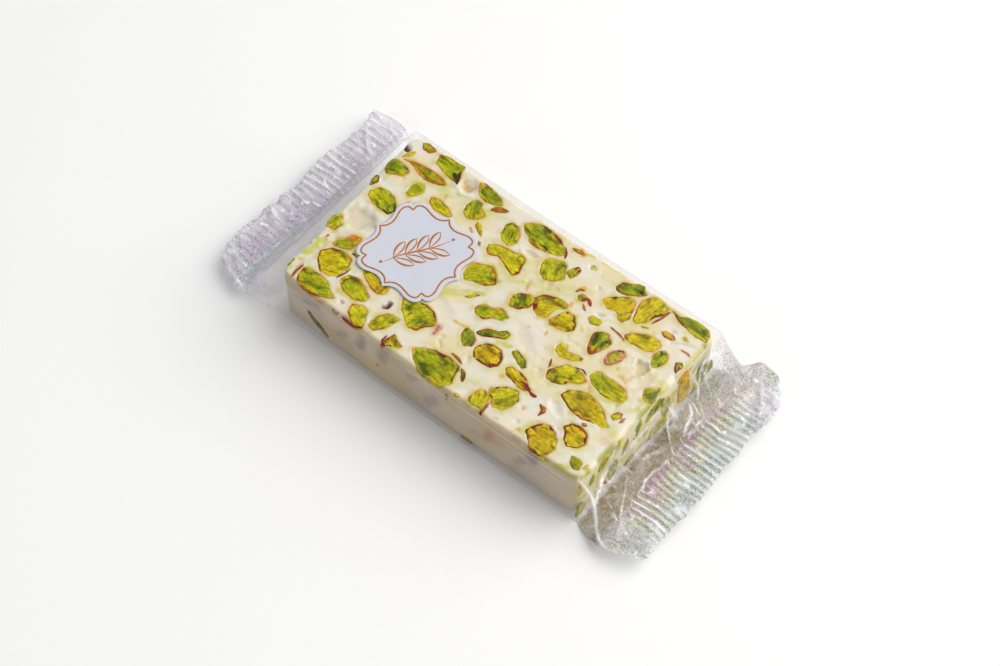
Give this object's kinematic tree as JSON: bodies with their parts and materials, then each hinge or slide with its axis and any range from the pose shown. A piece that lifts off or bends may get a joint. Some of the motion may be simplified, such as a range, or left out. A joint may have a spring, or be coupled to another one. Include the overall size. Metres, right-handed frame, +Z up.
{
  "type": "nougat bar",
  "caption": "Soft white nougat bar studded with cut green pistachio pieces, sealed in a clear crimped flow wrap with a small ornamental paper label on top.",
  "frame": {"origin": "centre of the pack's bounding box on the ground: on the flat underside of the wrap, below the middle of the whole pack from seal to seal", "axes": "+Z up, out of the bar's top face; +X along the bar's long side, towards the end whose cut face shows pistachio; +Y across the bar, towards the long side where the seals stand out further"},
  "size_m": [0.1332, 0.0636, 0.0173],
  "materials": {
    "nougat": "soft matt creamy white with a slight sheen",
    "pistachio_green": "cut nut flesh, fibrous, slightly oily",
    "pistachio_yellow": "cut nut flesh, fibrous, slightly oily",
    "pistachio_dark": "dark green nut skin side, slightly oily",
    "clear_film": "clear glossy film with crimped seals and a faint pearly sheen",
    "paper_label": "smooth white paper with a thin orange line"
  },
  "bodies": {
    "root": {"nougat": "nougat", "wrap": "clear_film", "label": "paper_label", "pistachio_top_01": "pistachio_green", "pistachio_top_02": "pistachio_green", "pistachio_top_03": "pistachio_yellow", "pistachio_top_04": "pistachio_green", "pistachio_top_05": "pistachio_yellow", "pistachio_top_06": "pistachio_green", "pistachio_top_07": "pistachio_green", "pistachio_top_08": "pistachio_green", "pistachio_top_09": "pistachio_green", "pistachio_top_10": "pistachio_green", "pistachio_top_11": "pistachio_dark", "pistachio_top_12": "pistachio_dark", "pistachio_top_13": "pistachio_dark", "pistachio_top_14": "pistachio_yellow", "pistachio_top_15": "pistachio_green", "pistachio_top_16": "pistachio_green", "pistachio_top_17": "pistachio_yellow", "pistachio_top_18": "pistachio_green", "pistachio_top_19": "pistachio_green", "pistachio_top_20": "pistachio_yellow", "pistachio_top_21": "pistachio_yellow", "pistachio_top_22": "pistachio_yellow", "pistachio_top_23": "pistachio_yellow", "pistachio_top_24": "pistachio_green", "pistachio_top_25": "pistachio_green", "pistachio_top_26": "pistachio_green", "pistachio_top_27": "pistachio_dark", "pistachio_top_28": "pistachio_green", "pistachio_top_29": "pistachio_yellow", "pistachio_top_30": "pistachio_green", "pistachio_top_31": "pistachio_green", "pistachio_top_32": "pistachio_green", "pistachio_top_33": "pistachio_green", "pistachio_top_34": "pistachio_green", "pistachio_top_35": "pistachio_green", "pistachio_top_36": "pistachio_green", "pistachio_top_37": "pistachio_green", "pistachio_top_38": "pistachio_yellow", "pistachio_top_39": "pistachio_yellow", "pistachio_top_40": "pistachio_dark", "pistachio_top_41": "pistachio_dark", "pistachio_top_42": "pistachio_yellow", "pistachio_top_43": "pistachio_yellow", "pistachio_top_44": "pistachio_green", "pistachio_top_45": "pistachio_yellow", "pistachio_top_46": "pistachio_green", "pistachio_top_47": "pistachio_dark", "pistachio_top_48": "pistachio_green", "pistachio_top_49": "pistachio_green", "pistachio_top_50": "pistachio_yellow", "pistachio_top_51": "pistachio_green", "pistachio_end_1": "pistachio_yellow", "pistachio_end_2": "pistachio_green", "pistachio_end_3": "pistachio_dark", "pistachio_end_4": "pistachio_dark"}
  },
  "joints": []
}
